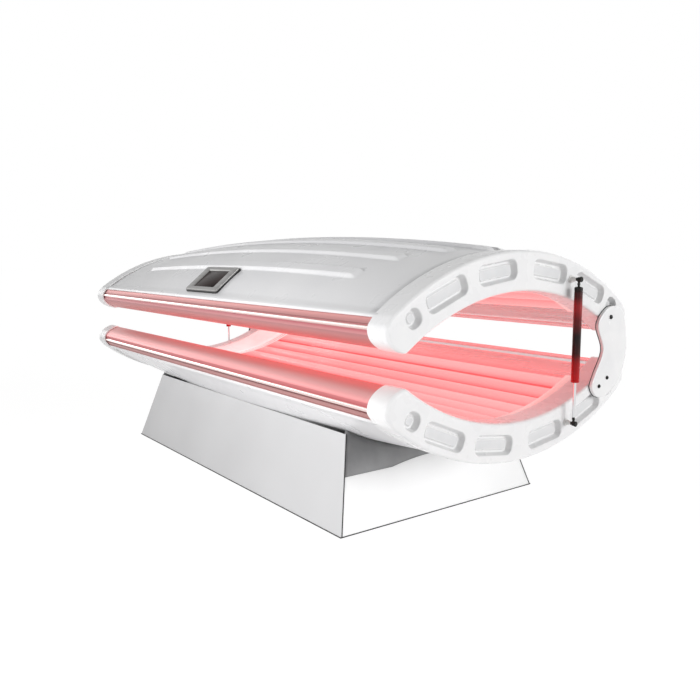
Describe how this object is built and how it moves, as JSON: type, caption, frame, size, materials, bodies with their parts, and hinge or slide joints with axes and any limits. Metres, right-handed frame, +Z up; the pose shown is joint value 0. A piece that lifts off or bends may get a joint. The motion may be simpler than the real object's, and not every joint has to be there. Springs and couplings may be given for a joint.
{
  "type": "red light therapy bed",
  "caption": "Clamshell light therapy bed: a lamp canopy hinged over a lamp tub along the rear side, held by gas struts, on a leaning sheet-metal base with a display on the roof.",
  "frame": {"origin": "on the floor, under the middle of the bed's bounding box", "axes": "+X along the bed towards the end nearest in the picture, -Y the open front side with the display, +Y the hinge side, +Z up"},
  "size_m": [2.012, 0.9024, 0.7999],
  "materials": {
    "white_shell": "gloss white, vacuum formed",
    "white_cap": "gloss white moulding",
    "polished_rail": "polished extrusion",
    "clear_acrylic": "clear and glossy",
    "reflector": "bright mirror sheet",
    "red_lamp": "glowing red tubes",
    "white_plate": "gloss white paint",
    "black_fixing": "black steel",
    "strut_body": "gloss black and red",
    "strut_rod": "bright chromed rod",
    "silver_bezel": "satin silver",
    "dark_glass": "dark display glass",
    "circuit_board": "matt board",
    "grey_panel": "satin light grey paint",
    "white_panel": "satin white paint",
    "zinc_steel": "zinc plated",
    "black_steel": "black paint",
    "black_rubber": "matt rubber",
    "grey_pan": "satin mid grey",
    "ballast_case": "satin case",
    "grey_case": "matt grey",
    "black_plastic": "matt black",
    "red_rocker": "gloss red"
  },
  "bodies": {
    "base": {"base_front_panel": "grey_panel", "base_rear_panel": "grey_panel", "base_end_panel_near": "white_panel", "base_end_panel_far": "white_panel", "base_floor_plate": "zinc_steel", "base_cross_beam_near": "black_steel", "base_cross_beam_far": "black_steel", "rubber_foot_front_near": "black_rubber", "rubber_foot_front_far": "black_rubber", "rubber_foot_rear_near": "black_rubber", "rubber_foot_rear_far": "black_rubber", "underbody_pan": "grey_pan", "ballast_1": "ballast_case", "ballast_2": "ballast_case", "ballast_3": "ballast_case", "ballast_4": "ballast_case", "control_box": "grey_case", "fan_frame_near": "black_plastic", "fan_frame_far": "black_plastic", "power_inlet": "black_plastic", "lower_shell": "white_shell", "lower_front_rail": "polished_rail", "lower_rear_rail": "polished_rail", "lower_end_cap_near": "white_cap", "lower_end_cap_far": "white_cap", "lower_reflector": "reflector", "lower_lamp_bank": "red_lamp", "bed_acrylic": "clear_acrylic", "hinge_plate_near": "white_plate", "hinge_plate_far": "white_plate", "hinge_screw_1_near": "black_fixing", "hinge_screw_2_near": "black_fixing", "hinge_screw_1_far": "black_fixing", "hinge_screw_2_far": "black_fixing", "lower_strut_stud_near": "black_fixing", "lower_strut_stud_far": "black_fixing"},
    "canopy": {"upper_shell": "white_shell", "upper_front_rail": "polished_rail", "upper_rear_rail": "polished_rail", "upper_end_cap_near": "white_cap", "upper_end_cap_far": "white_cap", "upper_reflector": "reflector", "upper_lamp_bank": "red_lamp", "canopy_acrylic": "clear_acrylic", "display_bezel": "silver_bezel", "display_glass": "dark_glass", "display_module": "circuit_board", "hinge_pin_near": "black_fixing", "hinge_pin_far": "black_fixing", "upper_strut_stud_near": "black_fixing", "upper_strut_stud_far": "black_fixing"},
    "strut_rod_near_body": {"strut_rod_near": "strut_rod"},
    "strut_rod_far_body": {"strut_rod_far": "strut_rod"},
    "strut_cylinder_near_body": {"strut_cylinder_near": "strut_body"},
    "strut_cylinder_far_body": {"strut_cylinder_far": "strut_body"},
    "fan_rotor_near_body": {"fan_rotor_near": "black_plastic"},
    "fan_rotor_far_body": {"fan_rotor_far": "black_plastic"},
    "power_switch_body": {"power_switch": "red_rocker"}
  },
  "joints": [
    {"name": "lid_hinge", "type": "hinge", "parent": "base", "child": "canopy", "pos_m": [0, 0.35934, 0.5653], "axis": [-1, 0, 0], "range_deg": [0, 50]},
    {"name": "strut_rod_near_swing", "type": "hinge", "parent": "base", "child": "strut_rod_near_body", "pos_m": [0.995, 0.18509, 0.28603], "axis": [-1, 0, 0], "range_deg": [0, 17]},
    {"name": "strut_rod_far_swing", "type": "hinge", "parent": "base", "child": "strut_rod_far_body", "pos_m": [-0.995, 0.18509, 0.28603], "axis": [-1, 0, 0], "range_deg": [0, 17]},
    {"name": "strut_cylinder_near_swing", "type": "hinge", "parent": "canopy", "child": "strut_cylinder_near_body", "pos_m": [0.995, 0.18509, 0.67397], "axis": [-1, 0, 0], "range_deg": [-34, 0]},
    {"name": "strut_cylinder_far_swing", "type": "hinge", "parent": "canopy", "child": "strut_cylinder_far_body", "pos_m": [-0.995, 0.18509, 0.67397], "axis": [-1, 0, 0], "range_deg": [-34, 0]},
    {"name": "fan_spin_near", "type": "hinge", "parent": "base", "child": "fan_rotor_near_body", "pos_m": [0.34, 0.35881, 0.08], "axis": [0, 0.9636, 0.2672], "continuous": true},
    {"name": "fan_spin_far", "type": "hinge", "parent": "base", "child": "fan_rotor_far_body", "pos_m": [-0.34, 0.35881, 0.08], "axis": [0, 0.9636, 0.2672], "continuous": true},
    {"name": "switch_rock", "type": "hinge", "parent": "base", "child": "power_switch_body", "pos_m": [0.018, 0.36199, 0.08088], "axis": [-1, 0, 0], "range_deg": [0, 16]}
  ],
  "couplings": [
    {"joint": "strut_rod_near_swing", "follows": "lid_hinge", "ratio": 0.3285},
    {"joint": "strut_rod_far_swing", "follows": "lid_hinge", "ratio": 0.3285},
    {"joint": "strut_cylinder_near_swing", "follows": "lid_hinge", "ratio": -0.6715},
    {"joint": "strut_cylinder_far_swing", "follows": "lid_hinge", "ratio": -0.6715}
  ]
}
